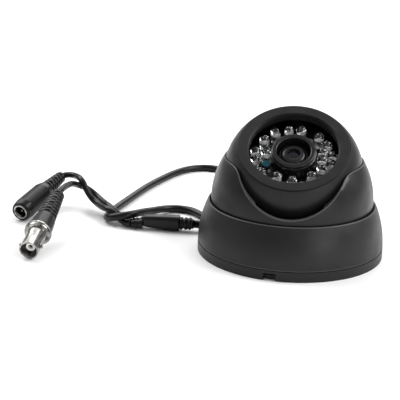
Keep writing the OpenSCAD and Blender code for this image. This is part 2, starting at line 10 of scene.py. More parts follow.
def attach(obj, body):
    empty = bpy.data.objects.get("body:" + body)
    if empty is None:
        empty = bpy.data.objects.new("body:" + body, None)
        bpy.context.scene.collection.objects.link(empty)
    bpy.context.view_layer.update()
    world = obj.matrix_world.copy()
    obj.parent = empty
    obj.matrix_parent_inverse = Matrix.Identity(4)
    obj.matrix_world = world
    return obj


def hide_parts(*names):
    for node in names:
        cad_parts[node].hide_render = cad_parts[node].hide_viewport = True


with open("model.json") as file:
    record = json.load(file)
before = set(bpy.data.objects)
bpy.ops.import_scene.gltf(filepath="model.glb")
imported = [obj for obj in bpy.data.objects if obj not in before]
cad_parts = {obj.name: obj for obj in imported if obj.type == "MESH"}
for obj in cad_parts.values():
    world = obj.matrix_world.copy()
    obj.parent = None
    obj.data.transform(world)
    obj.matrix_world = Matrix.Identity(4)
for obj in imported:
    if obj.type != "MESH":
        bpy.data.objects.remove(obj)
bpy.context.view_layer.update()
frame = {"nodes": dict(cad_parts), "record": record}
MM = 0.001

# ---- camera ----

EYE = (0.01921, -0.57446, 0.20469)
TURN, DOWN, ROLL = 6.5, 17.421, 1.623  # degrees
LENS = 108
SENSOR = 36
CLIP_START = 0.01


def make_camera():
    data = bpy.data.cameras.new("camera")
    data.lens = LENS
    data.sensor_width = SENSOR
    data.clip_start = CLIP_START
    obj = bpy.data.objects.new("camera", data)
    bpy.context.scene.collection.objects.link(obj)
    obj.matrix_world = (
        Matrix.Translation(EYE)
        @ Matrix.Rotation(math.radians(TURN), 4, "Z")
        @ Matrix.Rotation(math.radians(90 - DOWN), 4, "X")
        @ Matrix.Rotation(math.radians(ROLL), 4, "Z")
    )
    bpy.context.scene.camera = obj


make_camera()

# ---- the part's dimensions, in millimetres, as in the CAD ----

BALL_Z, LEAN = 38.7, 34.4
ON_AXIS = Matrix.Translation((0, 0, BALL_Z * MM)) @ Matrix.Rotation(
    math.radians(LEAN), 4, "X"
)


def lie(nose, yaw, lift):
    """Frame of a connector, +X from its nose to its tail."""
    return (
        Matrix.Translation([v * MM for v in nose])
        @ Matrix.Rotation(math.radians(yaw), 4, "Z")
        @ Matrix.Rotation(math.radians(-lift), 4, "Y")
    )


DC = lie((-143.7, 15.4, 5.4), 72, 12.4)
BNC = lie((-124.5, -40.5, 5), 87.3, 14)

# ---- mesh helpers ----


def mesh_piece(name, verts, faces, matrix=None, sharp=38):
    """A smooth mesh from points in millimetres, placed by matrix."""
    mesh = bpy.data.meshes.new(name)
    mesh.from_pydata([Vector(v) * MM for v in verts], [], faces)
    if matrix is not None:
        mesh.transform(matrix)
    bm = bmesh.new()
    bm.from_mesh(mesh)
    bmesh.ops.remove_doubles(bm, verts=bm.verts, dist=1e-6)
    bmesh.ops.dissolve_degenerate(bm, edges=bm.edges, dist=1e-7)
    bmesh.ops.recalc_face_normals(bm, faces=bm.faces)
    bm.to_mesh(mesh)
    bm.free()
    mesh.polygons.foreach_set("use_smooth", [True] * len(mesh.polygons))
    mesh.set_sharp_from_angle(angle=math.radians(sharp))
    obj = bpy.data.objects.new(name, mesh)
    bpy.context.scene.collection.objects.link(obj)
    return obj


def rounded(corners, steps=4, support=0.12):
    """Rounds a closed outline of (r, h, fillet radius) corners. Points beside each
    fillet keep the shading of the flats even."""
    out = []
    n = len(corners)
    for i in range(n):
        p = Vector(corners[i][:2])
        fillet = corners[i][2] if len(corners[i]) > 2 else 0
        if not fillet:
            out.append(tuple(p))
            continue
        to_a = Vector(corners[i - 1][:2]) - p
        to_b = Vector(corners[(i + 1) % n][:2]) - p
        la, lb = to_a.length, to_b.length
        to_a.normalize()
        to_b.normalize()
        half = math.acos(max(-1, min(1, to_a.dot(to_b)))) / 2
        reach = min(fillet / math.tan(half), 0.48 * la, 0.48 * lb)
        if reach + support < 0.5 * la:
            out.append(tuple(p + to_a * (reach + support)))
        a, b = p + to_a * reach, p + to_b * reach
        for k in range(steps + 1):
            t = k / steps
            out.append(tuple(a.lerp(p, t).lerp(p.lerp(b, t), t)))
        if reach + support < 0.5 * lb:
            out.append(tuple(p + to_b * (reach + support)))
    return out


def arc(radius, centre_h, h0, h1, count):
    """Points (r, h) on a sphere about the axis, from height h0 to h1."""
    a0 = math.asin((h0 - centre_h) / radius)
    a1 = math.asin((h1 - centre_h) / radius)
    angles = [a0 + (a1 - a0) * k / count for k in range(count + 1)]
    return [(radius * math.cos(a), centre_h + radius * math.sin(a)) for a in angles]


def revolve(outline, steps=128, start=0.0, span=360.0, reshape=None):
    """Points and faces of a closed outline of (r, h) turned about Z."""
    whole = span >= 360
    count = steps if whole else steps + 1
    n = len(outline)
    verts, faces = [], []
    for j in range(count):
        a = math.radians(start + span * j / steps)
        for i, (r, h) in enumerate(outline):
            if reshape:
                r = reshape(i, r, h, a)
            verts.append((r * math.cos(a), r * math.sin(a), h))
    for j in range(steps):
        k = (j + 1) % count
        for i in range(n):
            m = (i + 1) % n
            faces.append((j * n + i, k * n + i, k * n + m, j * n + m))
    if not whole:
        faces.append(tuple(range(n)))
        faces.append(tuple((count - 1) * n + i for i in reversed(range(n))))
    return verts, faces


def block(x0, x1, y0, y1, z0, z1):
    """Points and faces of a plain block, for small parts inside a larger piece."""
    verts = [(x, y, z) for x in (x0, x1) for y in (y0, y1) for z in (z0, z1)]
    faces = [(0, 1, 3, 2), (4, 6, 7, 5), (0, 4, 5, 1), (2, 3, 7, 6), (0, 2, 6, 4), (1, 5, 7, 3)]
    return verts, faces


def moved(part, matrix):
    verts, faces = part
    return [tuple(matrix @ Vector(v)) for v in verts], faces


def solid(name, parts, matrix=None, sharp=38):
    """One piece from several closed parts, in millimetres."""
    verts, faces = [], []
    for part_verts, part_faces in parts:
        first = len(verts)
        verts += part_verts
        faces += [tuple(first + i for i in face) for face in part_faces]
    return mesh_piece(name, verts, faces, matrix, sharp)


def catmull(points, steps=8):
    """A smooth curve through points, in millimetres."""
    p = [Vector(q) for q in points]
    p = [2 * p[0] - p[1]] + p + [2 * p[-1] - p[-2]]
    out = []
    for i in range(1, len(p) - 2):
        a, b, c, d = p[i - 1 : i + 3]
        for k in range(steps):
            t = k / steps
            out.append(
                0.5
                * (
                    2 * b
                    + (c - a) * t
                    + (2 * a - 5 * b + 4 * c - d) * t * t
                    + (3 * b - a - 3 * c + d) * t**3
                )
            )
    out.append(p[-2])
    return out


def tube(name, line, radius, sides=24):
    """A round tube swept along a line, in millimetres, with closed ends."""
    verts, faces = [], []
    n = len(line)
    ahead = [(line[min(i + 1, n - 1)] - line[max(i - 1, 0)]).normalized() for i in range(n)]
    side = ahead[0].cross(Vector((0, 0, 1))).normalized()
    for i in range(n):
        side = (side - ahead[i] * side.dot(ahead[i])).normalized()
        up = side.cross(ahead[i])
        for k in range(sides):
            a = 2 * math.pi * k / sides
            verts.append(line[i] + radius * (math.cos(a) * side + math.sin(a) * up))
    for i in range(n - 1):
        for k in range(sides):
            m = (k + 1) % sides
            faces.append(
                (i * sides + k, i * sides + m, (i + 1) * sides + m, (i + 1) * sides + k)
            )
    faces.append(tuple(range(sides)))
    faces.append(tuple((n - 1) * sides + k for k in reversed(range(sides))))
    return mesh_piece(name, verts, faces)


# ---- cords ----

MAIN_ROUTE = [
    (0, 46.4, 2.1), (0, 52, 2.1), (0, 58, 2.1), (-1.2, 65, 2.1),
    (-4.2, 75, 2.1), (-9, 85, 2.1), (-15.5, 96, 2.1), (-23, 107, 2.1),
    (-31, 117, 2.1), (-39.5, 125.5, 2.1), (-48.5, 131.5, 2.1), (-57.5, 133.5, 2.1),
    (-64.8, 131, 2.1), (-70.8, 125.5, 2.1), (-75.8, 117, 2.1), (-79.8, 107.5, 2.1),
    (-83.6, 97, 2.1), (-87.1, 86, 2.1), (-90.1, 74, 2.1), (-92.8, 62, 2.2),
    (-95.4, 50.7, 2.2), (-97.6, 40.5, 2.2), (-98.9, 32.1, 2.1), (-99, 26, 2.5),
    (-97.6, 22.1, 3.4), (-94.9, 19.4, 4.6), (-91.2, 18.3, 5.6), (-87.3, 19, 6.3),
    (-83.8, 21.7, 6.4), (-80.6, 27.3, 5.7), (-76.4, 36.6, 3.9), (-70.5, 45.3, 2.6),
    (-63, 48.6, 2.1), (-55.7, 46.2, 2.1), (-50.2, 40.2, 2.1), (-45.8, 35, 2.1),
    (-43.1, 31.1, 2.1), (-42.4, 27.2, 2.1), (-43.4, 23.3, 2.6), (-46.5, 19.9, 3.5),
    (-51, 18, 4.2),
]
DC_ROUTE = [
    (-130.7, 55.3, 14.6), (-128.4, 55.6, 15.4), (-125.4, 55, 15.9), (-122, 52.7, 16.1),
    (-118.5, 47.1, 16.7), (-116.2, 43.9, 15.6), (-114.3, 42, 13.1), (-112.3, 41.3, 9.9),
    (-109.8, 40.2, 7.2), (-106.7, 37.5, 5.8), (-103.1, 32.3, 5.8), (-99.2, 27.3, 6.4),
    (-95.8, 25, 5.8), (-93.3, 23.3, 4.1), (-90.7, 21.5, 3), (-87.6, 18.9, 2.2),
    (-84, 16.2, 2.6),
]
BNC_ROUTE = [
    (-122, 11.8, 18.1), (-121.7, 15.7, 18.9), (-121.4, 22.1, 18.6), (-121.2, 30.2, 17.5),
    (-120.9, 38, 15.9), (-120, 43.3, 14.1), (-118.4, 46.1, 12.8), (-116, 47.6, 11.5),
    (-113.5, 48.1, 10), (-110.6, 47.3, 8.3), (-107.2, 44.5, 6.8), (-103.3, 39.1, 6.2),
    (-99.3, 33.2, 6.2), (-96.1, 29.4, 5.4), (-93.4, 27.7, 3.9), (-90.7, 26.4, 2.6),
    (-87.9, 24.2, 1.8), (-84, 19.8, 2.6),
]
MAIN_D, BRANCH_D = 4.1, 3.4


def make_cord(name, route, diameter):
    """The cord's tube and its smooth centreline, which starts where the cord leaves."""
    line = catmull(route)
    obj = tube(name, line, diameter / 2)
    return obj, line


main_cord, main_line = make_cord("main_cord", MAIN_ROUTE, MAIN_D)
power_cord, power_line = make_cord("power_branch", DC_ROUTE[::-1], BRANCH_D)
video_cord, video_line = make_cord("video_branch", BNC_ROUTE[::-1], BRANCH_D)

# ---- materials ----


def material(name):
    mat = bpy.data.materials.new(name)
    mat.use_nodes = True
    tree = mat.node_tree
    shader = tree.nodes["Principled BSDF"]
    return mat, tree, shader


def add(tree, kind, **inputs):
    node = tree.nodes.new(kind)
    for key, value in inputs.items():
        node.inputs[key.replace("_", " ")].default_value = value
    return node


def place(tree, stretch=None):
    """Object coordinates, stretched where a texture runs in one direction."""
    coords = tree.nodes.new("ShaderNodeTexCoord")
    if not stretch:
        return coords.outputs["Object"]
    mapping = tree.nodes.new("ShaderNodeMapping")
    mapping.inputs["Scale"].default_value = stretch
    tree.links.new(coords.outputs["Object"], mapping.inputs["Vector"])
    return mapping.outputs["Vector"]


def noise(tree, where, scale, detail=2.0):
    node = add(tree, "ShaderNodeTexNoise", Scale=scale, Detail=detail)
    tree.links.new(where, node.inputs["Vector"])
    return node.outputs["Fac"]


def ramp(tree, value, low, high, at=(0.3, 0.7)):
    """Spreads a value between two colours or two grey levels."""
    node = tree.nodes.new("ShaderNodeValToRGB")
    for stop, colour, where in zip(node.color_ramp.elements, (low, high), at):
        stop.position = where
        stop.color = (colour,) * 3 + (1,) if isinstance(colour, float) else (*colour, 1)
    tree.links.new(value, node.inputs["Fac"])
    return node.outputs["Color"]


def shade(colour, factor):
    return tuple(c * factor for c in colour)


def finish_of(
    name, colour, rough, grain=2600, depth=0.03, vary=0.18, rough_vary=0.06,
    metal=0.0, coat=0.0, specular=0.5, stretch=None, edge_highlight=0.0, broad=45,
):
    """A surface with broad mottling, a fine grain and, if asked, a painted highlight that
    lightens its sharply curved edges.
    colour is linear, depth is the grain's height in millimetres."""
    mat, tree, shader = material(name)
    shader.inputs["Metallic"].default_value = metal
    shader.inputs["Coat Weight"].default_value = coat
    shader.inputs["Coat Roughness"].default_value = 0.15
    shader.inputs["Specular IOR Level"].default_value = specular
    where = place(tree, stretch)
    mottle = noise(tree, where, broad, 4.0)
    tone = ramp(tree, mottle, shade(colour, 1 - vary), shade(colour, 1 + vary))
    # Painted highlight: where pointiness finds a sharply curved edge, the base colour is mixed
    # towards a lighter tone, in place of the shine on the rounded edge.
    if edge_highlight:
        shape = tree.nodes.new("ShaderNodeNewGeometry")
        edge = ramp(tree, shape.outputs["Pointiness"], 0.0, 1.0, (0.506, 0.524))
        mix = tree.nodes.new("ShaderNodeMix")
        mix.data_type = "RGBA"
        strength = tree.nodes.new("ShaderNodeMath")
        strength.operation = "MULTIPLY"
        strength.inputs[1].default_value = edge_highlight
        tree.links.new(edge, strength.inputs[0])
        tree.links.new(strength.outputs[0], mix.inputs["Factor"])
        tree.links.new(tone, mix.inputs["A"])
        mix.inputs["B"].default_value = (*[min(1, c * 3 + 0.05) for c in colour], 1)
        tone = mix.outputs["Result"]
    tree.links.new(tone, shader.inputs["Base Color"])
    smears = noise(tree, where, broad * 3, 5.0)
    level = ramp(tree, smears, rough - rough_vary, rough + rough_vary)
    tree.links.new(level, shader.inputs["Roughness"])
    fine = noise(tree, where, grain, 2.0)
    bump = add(tree, "ShaderNodeBump", Strength=0.6, Distance=depth * MM)
    tree.links.new(fine, bump.inputs["Height"])
    tree.links.new(bump.outputs["Normal"], shader.inputs["Normal"])
    return mat


def clear_of(name, colour, rough, ior, transmission=1.0):
    """Clear or tinted glass or resin, with faint swirls in its surface."""
    mat, tree, shader = material(name)
    shader.inputs["Base Color"].default_value = (*colour, 1)
    shader.inputs["Transmission Weight"].default_value = transmission
    shader.inputs["IOR"].default_value = ior
    where = place(tree)
    level = ramp(tree, noise(tree, where, 300, 3.0), rough, rough + 0.05)
    tree.links.new(level, shader.inputs["Roughness"])
    fine = noise(tree, where, 700, 2.0)
    bump = add(tree, "ShaderNodeBump", Strength=0.5, Distance=0.07 * MM)
    tree.links.new(fine, bump.inputs["Height"])
    tree.links.new(bump.outputs["Normal"], shader.inputs["Normal"])
    return mat


LOOKS = {
    "satin_black": finish_of(
        "satin_black", (0.009, 0.009, 0.0095), 0.42, specular=0.26
    ),
    "dome_black": finish_of(
        "dome_black", (0.007, 0.007, 0.0075), 0.36, specular=0.24
    ),
    "hood_black": finish_of(
        "hood_black", (0.006, 0.006, 0.0065), 0.22, depth=0.02, specular=0.45
    ),
    "cable_black": finish_of(
        "cable_black", (0.004, 0.004, 0.0042), 0.32, grain=1500, depth=0.05, specular=0.23
    ),
    "foam_black": finish_of("foam_black", (0.01, 0.01, 0.01), 0.9, grain=900, depth=0.3),
    "board_black": finish_of(
        "board_black", (0.006, 0.007, 0.007), 0.25, grain=1800, depth=0.02
    ),
    "board_green": finish_of(
        "board_green", (0.01, 0.06, 0.02), 0.3, grain=1800, depth=0.02
    ),
    "chip_black": finish_of("chip_black", (0.01, 0.01, 0.011), 0.55),
    "lamp_clear": clear_of("lamp_clear", (0.96, 0.98, 1.0), 0.02, 1.5),
    "sensor_blue": finish_of(
        "sensor_blue", (0.001, 0.045, 0.06), 0.22, specular=0.3, grain=1200, depth=0.01
    ),
    "lens_glass": finish_of(
        "lens_glass", (0.004, 0.003, 0.008), 0.08, coat=0.3, grain=800, depth=0.002,
        rough_vary=0.02, specular=0.35,
    ),
    "filter_pink": finish_of("filter_pink", (0.4, 0.07, 0.1), 0.1, coat=0.5),
    # The nickel's tone is streaked along the barrel by stretched noise: painted reflection
    # bands, standing in for the surroundings mirrored in the metal.
    "nickel": finish_of(
        "nickel", (0.3, 0.293, 0.283), 0.2, metal=1.0, grain=1500, depth=0.01, vary=0.75,
        stretch=(1, 0.06, 1), broad=420
    ),
    "screw_steel": finish_of(
        "screw_steel", (0.75, 0.74, 0.72), 0.35, metal=1.0, depth=0.02, vary=0.1
    ),
    "brass": finish_of("brass", (0.28, 0.2, 0.1), 0.3, metal=1.0, depth=0.02, vary=0.1),
    "white_plastic": finish_of(
        "white_plastic", (0.93, 0.92, 0.89), 0.45, grain=2000, depth=0.02, vary=0.05
    ),
}


# The same two plastics with a painted highlight lightening their edges, for pieces with finely
# rounded edges
EDGE_HIGHLIT = {
    "satin_black": finish_of(
        "satin_black_painted_highlight", (0.009, 0.009, 0.0095), 0.42, edge_highlight=0.9, specular=0.26
    ),
    "dome_black": finish_of(
        "dome_black_painted_highlight", (0.007, 0.007, 0.0075), 0.36, edge_highlight=0.9, specular=0.24
    ),
}


def dress(obj, slot, edge_highlit=False):
    """Gives a piece its finish, with painted highlights lightening its edges where they are
    finely rounded.
    """
    obj.data.materials.clear()
    obj.data.materials.append(EDGE_HIGHLIT[slot] if edge_highlit else LOOKS[slot])


# Every CAD node that stays in view takes the look of its slot
for part in frame["record"]["subparts"]:
    node = frame["nodes"][part["node"]]
    look = LOOKS[part["material_slot"]]
    if node.data.materials:
        for i in range(len(node.data.materials)):
            node.data.materials[i] = look
    else:
        node.data.materials.append(look)


def piece(obj, slot, body, *nodes, edge_highlit=False):
    """Gives a piece its finish and its body, and hides the CAD nodes it stands for."""
    dress(obj, slot, edge_highlit)
    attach(obj, body)
    if nodes:
        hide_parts(*nodes)
    return obj


# ---- floor and light ----

FLOOR_HALF = 6
SKY = 0.42


def make_floor():
    mesh = bpy.data.meshes.new("floor")
    half = FLOOR_HALF
    mesh.from_pydata(
        [(-half, -half, 0), (half, -half, 0), (half, half, 0), (-half, half, 0)],
        [],
        [(0, 1, 2, 3)],
    )
    obj = bpy.data.objects.new("floor", mesh)
    bpy.context.scene.collection.objects.link(obj)
    mat, tree, shader = material("floor_white")
    where = place(tree)
    tone = ramp(tree, noise(tree, where, 3, 2.0), 0.92, 0.96)
    tree.links.new(tone, shader.inputs["Base Color"])
    shader.inputs["Roughness"].default_value = 0.9
    shader.inputs["Specular IOR Level"].default_value = 0.1
    obj.data.materials.append(mat)


def area_light(name, at, target, size, power):
    data = bpy.data.lights.new(name, "AREA")
    data.shape = "RECTANGLE"
    data.size = size
    data.size_y = size
    data.energy = power
    obj = bpy.data.objects.new(name, data)
    bpy.context.scene.collection.objects.link(obj)
    toward = Vector(target) - Vector(at)
    obj.matrix_world = (
        Matrix.Translation(at) @ toward.to_track_quat("-Z", "Y").to_matrix().to_4x4()
    )


def make_light():
    world = bpy.data.worlds.new("studio")
    bpy.context.scene.world = world
    world.use_nodes = True
    world.node_tree.nodes["Background"].inputs["Color"].default_value = (1, 1, 1, 1)
    world.node_tree.nodes["Background"].inputs["Strength"].default_value = SKY
    area_light("back", (0, 1.3, 1.1), (0, 0, 0.02), 1.2, 13)
    area_light("left", (-0.9, 0.55, 1.1), (0, 0, 0.03), 0.9, 15)
    area_light("right", (1.0, 0.0, 0.9), (0, 0, 0.03), 0.9, 17)
    area_light("front_right", (0.75, -0.8, 0.3), (0, 0, 0.03), 0.4, 3)
    bpy.context.scene.view_settings.view_transform = "Standard"


make_floor()
make_light()

# ---- housing ----

RING_R, RING_IN_R, RING_TOP, RING_WALL = 46.4, 44.9, 25.8, 1.5
TAPER_FROM, TAPER_SPAN, TAPER_BY = 6, 18.5, 3.9
LIP_R, LIP_UNDER = 41.0, 22.3
TWISTS = (90, 210, 330)
TAB_ARC = 24


def ring_r(z):
    """Outer radius of the cover ring, which draws in towards its top."""
    up = max(0, z - TAPER_FROM) / TAPER_SPAN
    return RING_R - TAPER_BY * up * up


def cover_ring():
    heights = [7 + 1.25 * k for k in range(14)]
    outline = [(RING_R, 5.12, 0.45)]
    outline += [(ring_r(z), z) for z in heights]
    outline += [(ring_r(RING_TOP), RING_TOP, 0.6), (LIP_R, RING_TOP, 0.3)]
    outline += [(LIP_R, LIP_UNDER, 0.2)]
    outline += [(ring_r(z) - RING_WALL, z) for z in (LIP_UNDER, 19, 16, 13, 10, 7.5)]
    outline += [(RING_IN_R, 5.05, 0.2)]
    tab = [(42.9, 6.7), (45.2, 6.7), (45.2, 9.2), (42.9, 9.2)]
    parts = [revolve(rounded(outline), 256)]
    parts += [revolve(tab, 12, a - TAB_ARC / 2, TAB_ARC) for a in TWISTS]
    return solid("cover_ring_shell", parts)


DOME_R, DOME_Z, DOME_TOP, DOME_BOTTOM = 40.4, 27.2, 48.2, 19.3
CUP_R, CUP_TOP, GAP_R = 38.4, 34.0, 35.3
FLANGE_R, FLANGE_TOP = 41.6, 22.0
WINDOW_R, WINDOW_Z, FLARE_R = 27.0, 55.5, 5.0
CORNER_Z = DOME_TOP - FLARE_R
CORNER_X = math.sqrt((WINDOW_R + FLARE_R) ** 2 - (WINDOW_Z - CORNER_Z) ** 2)
TOUCH_X = CORNER_X * WINDOW_R / (WINDOW_R + FLARE_R)


def sphere_r(radius, centre, z):
    return math.sqrt(max(0, radius * radius - (z - centre) ** 2))


def window_z(x):
    """Height of the front window's edge: an arc that flares into the top edge."""
    x = abs(x)
    if x < TOUCH_X:
        return WINDOW_Z - math.sqrt(WINDOW_R**2 - x * x)
    if x < CORNER_X:
        return CORNER_Z + math.sqrt(FLARE_R**2 - (CORNER_X - x) ** 2)
    return DOME_TOP


def edge_height(turn):
    """Height where the window's edge meets the dome's outside, turn radians off -Y."""
    if math.cos(turn) <= 0:
        return DOME_TOP
    low, high = FLANGE_TOP, DOME_TOP
    for _ in range(40):
        z = (low + high) / 2
        if z < window_z(sphere_r(DOME_R, DOME_Z, z) * math.sin(turn)):
            low = z
        else:
            high = z
    return high


def inner_radius(z):
    if z > CUP_TOP:
        return sphere_r(GAP_R, BALL_Z, z)
    return sphere_r(CUP_R, DOME_Z, z)


def ring_point(radius, turn, z):
    return Vector((radius * math.sin(turn), -radius * math.cos(turn), z))


def inner_turn(turn, outer, z):
    """Direction of the inside edge point, straight behind the outside one."""
    radius = inner_radius(z)
    if math.cos(turn) > 0 and abs(outer.x) < CORNER_X:
        return math.asin(max(-1, min(1, outer.x / radius)))
    side = math.copysign(1, turn)
    rest = abs(turn) - math.asin(CORNER_X / sphere_r(DOME_R, DOME_Z, DOME_TOP))
    over = math.asin(CORNER_X / inner_radius(DOME_TOP)) - math.asin(
        CORNER_X / sphere_r(DOME_R, DOME_Z, DOME_TOP)
    )
    return turn + side * over * max(0, 1 - rest / 0.5)


def bend(a, corner, b, steps):
    return [a.lerp(corner, t).lerp(corner.lerp(b, t), t) for t in
            (k / steps for k in range(steps + 1))]


def inner_dome():
    """The dome's shell in columns: up the outside, over the rounded edge of the
    window or the top, and down the inside."""
    columns = 360
    wall_rows, inside_rows = 30, 8
    turns = [2 * math.pi * (k + 0.5) / columns - math.pi for k in range(columns)]
    edge = []
    for t in turns:
        z = edge_height(t)
        edge.append(ring_point(sphere_r(DOME_R, DOME_Z, z), t, z))
    verts, rows = [], 0
    for k, t in enumerate(turns):
        outer = edge[k]
        along = (edge[(k + 1) % columns] - edge[k - 1]).normalized()
        normal = (outer - Vector((0, 0, DOME_Z))).normalized()
        down = normal.cross(along)
        if down.z > 0:
            down = -down
        t_in = inner_turn(t, outer, outer.z)
        inner = ring_point(inner_radius(outer.z), t_in, outer.z)
        wall = inner - outer
        width = wall.length
        wall.normalize()
        soft_out, soft_in = min(0.5, 0.5 * width), min(0.25, 0.28 * width)
        seat = outer + down * soft_out
        seat_turn = math.atan2(seat.x, -seat.y)
        column = [ring_point(FLANGE_R, t, DOME_BOTTOM), ring_point(FLANGE_R, t, FLANGE_TOP)]
        for i in range(wall_rows + 1):
            f = i / wall_rows
            z = FLANGE_TOP + (seat.z - FLANGE_TOP) * f
            turn = t + (seat_turn - t) * f**4
            column.append(ring_point(sphere_r(DOME_R, DOME_Z, z), turn, z))
        column += bend(seat, outer, outer + wall * soft_out, 5)
        below = Vector((inner.x, inner.y, inner.z - soft_in))
        column += bend(inner - wall * soft_in, inner, below, 3)
        top = max(CUP_TOP, below.z)
        for i in range(1, inside_rows + 1):
            z = top + (CUP_TOP + 0.01 - top) * i / inside_rows
            column.append(ring_point(inner_radius(z), t_in, z) if top > CUP_TOP else below)
        start = min(CUP_TOP, below.z)
        for i in range(inside_rows + 1):
            z = start + (DOME_BOTTOM - start) * i / inside_rows
            column.append(ring_point(inner_radius(z), t_in, z))
        verts += column
        rows = len(column)
    faces = []
    for k in range(columns):
        m = (k + 1) % columns
        for i in range(rows):
            j = (i + 1) % rows
            faces.append((k * rows + i, m * rows + i, m * rows + j, k * rows + j))
    return mesh_piece("inner_dome_shell", verts, faces)


BALL_R, BALL_WALL, FACE_D = 35.0, 2, 21.7
BOSS_AT = 28.5


def ball_front():
    shell = [(BALL_R - BALL_WALL, 0.02), (BALL_R, 0.02)]
    shell += arc(BALL_R, 0, 0.5, FACE_D - 0.4, 30)
    shell += [(sphere_r(BALL_R, 0, FACE_D), FACE_D, 0.3), (24.4, FACE_D), (24.4, 18.9)]
    shell += arc(BALL_R - BALL_WALL, 0, 18.9, 0.5, 20)
    boss = [(0.8, 0.02), (2.8, 0.02), (2.8, 16), (0, 16), (0, 9.2), (0.8, 9.2)]
    at = [Matrix.Rotation(math.radians(a), 4, "Z") @ Matrix.Translation((BOSS_AT, 0, 0))
          for a in TWISTS]
    parts = [revolve(rounded(shell), 256)]
    parts += [moved(revolve(boss, 32), m) for m in at]
    return solid("ball_front_shell", parts, ON_AXIS)


def face_bezel():
    outline = [
        (21.7, 17.5), (24.35, 17.5), (24.35, 21.72), (26.9, 21.72), (26.9, 22.1, 0.25),
        (22.1, 22.1, 0.3), (22.1, 21.4), (21.9, 21.3), (22.1, 21.0), (22.1, 20.9),
        (21.9, 20.8), (22.1, 20.5), (22.1, 20.3), (21.7, 20.3, 0.12),
    ]
    return solid("face_ring", [revolve(rounded(outline), 256)], ON_AXIS)


def lens_hood():
    outline = [
        (8.7, 9.8), (11.1, 9.8), (11.1, 18.05, 0.15), (10.75, 18.2), (10.7, 19.7, 0.9),
        (8.3, 19.7, 0.6), (8.3, 18.2),
    ]
    return solid("hood_ring", [revolve(rounded(outline, 6), 192)], ON_AXIS)


# ---- lens ----


def lens_barrel():
    outline = [
        (4.2, 4.2), (5.95, 4.2), (5.95, 10.5), (7, 10.5), (7, 15.9, 0.3), (6.4, 15.9),
        (6.2, 16.2), (5.7, 16.8), (5.1, 17.15), (4.4, 17.35), (3.8, 17.4), (3.45, 17.3),
        (3.25, 17.0), (3.2, 16.6), (3.2, 15.2), (4.2, 15.2),
    ]
    return solid("lens_ring", [revolve(rounded(outline), 128)], ON_AXIS)


def lens_glass():
    front = [(0, 15.3)] + [(3.18, 15.3), (3.18, 15.75)]
    front += [(3.18 * (1 - k / 10), 16.4 - 0.65 * (1 - k / 10) ** 2) for k in range(1, 11)]
    rear = [(0, 5), (4.18, 5), (4.18, 7.5), (0, 7.9)]
    return solid("lens_elements", [revolve(front, 96), revolve(rear, 96)], ON_AXIS)


# ---- lamps and light sensor ----

BOARD_TOP = 9.8
LAMP_TIP, LAMP_R = 18.5, 2.4
LAMPS = [
    (-3.4, 16.0), (2.7, 16.2), (11.7, 12.6), (-9.9, 14.2), (-14.9, 9.1),
    (15.9, 7.6), (9.6, -12.3), (0.3, -16.0), (-7.1, -13.9),
    (-18.7, 1.0), (-18.4, -4.4), (-14.6, -12.0),
    (18.7, 1.0), (18.4, -4.3), (-13.6, 0.4), (13.9, 3.0), (13.9, -2.0),
    (14.0, -7.7),
]
SENSOR_AT = (-12.9, -7.0)


def lamp_bodies():
    dome_z = LAMP_TIP - LAMP_R
    outline = [(0, BOARD_TOP + 0.02), (2.49, BOARD_TOP + 0.02), (2.49, 10.8), (2.4, 10.9)]
    outline += arc(LAMP_R, dome_z, dome_z, LAMP_TIP - 0.001, 12)
    outline += [(0, LAMP_TIP)]
    lamp = revolve(outline, 40)
    parts = [moved(lamp, Matrix.Translation((x, y, 0))) for x, y in LAMPS]
    return solid("lamp_bodies", parts, ON_AXIS)


def lamp_leads():
    """In each lamp a cup on its post, and the second post with a wider head."""
    cup = [(0, 12.4), (0.7, 12.4), (1.35, 14.2), (1.2, 14.2), (0.55, 13.1), (0, 13.1)]
    parts = []
    for i, (x, y) in enumerate(LAMPS):
        at = Matrix.Translation((x, y, 0)) @ Matrix.Rotation(math.radians(25 + 47 * i), 4, "Z")
        parts.append(moved(revolve(cup, 24), at))
        parts.append(moved(block(-0.3, 0.3, -0.3, 0.3, BOARD_TOP, 12.5), at))
        parts.append(moved(block(1.05, 1.55, -0.3, 0.3, BOARD_TOP, 13.7), at))
        parts.append(moved(block(0.9, 1.7, -0.5, 0.5, 13.2, 13.7), at))
    return solid("lamp_leads", parts, ON_AXIS)


def light_sensor():
    can = [(0, 14.7), (2.15, 14.7), (2.15, 16.8, 0.15), (0, 16.8)]
    cell = [(0, 16.78), (1.95, 16.78), (1.95, 17.1, 0.15), (0, 17.1)]
    stem = [(0, BOARD_TOP), (0.9, BOARD_TOP), (0.9, 14.8), (0, 14.8)]
    at = Matrix.Translation((*SENSOR_AT, 0))
    parts = [moved(revolve(rounded(can), 48), at), moved(revolve(stem, 24), at)]
    top = [moved(revolve(rounded(cell), 48), at)]
    return solid("sensor_can", parts, ON_AXIS), solid("sensor_cell", top, ON_AXIS)


# ---- connectors and splitter ----

ALONG_X = Matrix.Rotation(math.radians(90), 4, "Y")


def relief(h0, h1, core0, core1, rib0, rib1, count):
    """Outline of a strain relief: ribs on a core, from h0 to h1, closed on the axis.
    Returns it with the rib radius that bridges each groove."""
    outline, bridges = [], []
    pitch = (h1 - h0) / count
    for i in range(count):
        a = h0 + i * pitch
        rib = rib0 + (rib1 - rib0) * i / (count - 1)
        core = core0 + (core1 - core0) * i / (count - 1)
        for h, r, inside in (
            (a, core, 1), (a + 0.02, rib - 0.3, 0), (a + 0.22 * pitch, rib, 0),
            (a + 0.45 * pitch, rib, 0), (a + 0.62 * pitch, rib - 0.25, 0),
            (a + 0.66 * pitch, core, 1), (a + 0.9 * pitch, core, 1),
        ):
            outline.append((r, h))
            bridges.append((i, rib - 0.35) if inside else None)
    return outline, bridges


